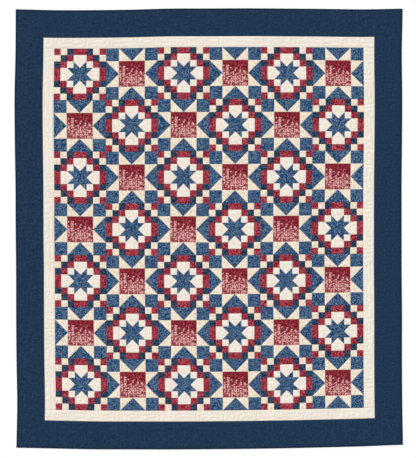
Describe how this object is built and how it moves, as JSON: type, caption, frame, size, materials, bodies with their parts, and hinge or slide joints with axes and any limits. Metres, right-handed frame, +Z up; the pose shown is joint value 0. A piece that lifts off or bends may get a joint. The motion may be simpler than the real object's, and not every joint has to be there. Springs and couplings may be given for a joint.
{
  "type": "quilt",
  "caption": "Flat pieced bed quilt of square star and chain blocks with a pale inner border, a dark outer border and a bound edge.",
  "frame": {"origin": "centre of the quilt's outline on the surface that it lies on", "axes": "+X across the width to the right of the picture, +Y along the length to the picture's top, +Z up out of the quilt's face"},
  "size_m": [2.2924, 2.6036, 0.0062],
  "materials": {
    "patchwork": "matte printed and plain cotton patches",
    "inner_border": "matte ivory cotton",
    "outer_border": "matte navy cotton",
    "binding": "matte navy cotton, folded double"
  },
  "bodies": {
    "root": {"patchwork_panel": "patchwork", "inner_border_left": "inner_border", "inner_border_right": "inner_border", "inner_border_top": "inner_border", "inner_border_bottom": "inner_border", "outer_border_left": "outer_border", "outer_border_right": "outer_border", "outer_border_top": "outer_border", "outer_border_bottom": "outer_border", "binding_left": "binding", "binding_right": "binding", "binding_top": "binding", "binding_bottom": "binding"}
  },
  "joints": []
}
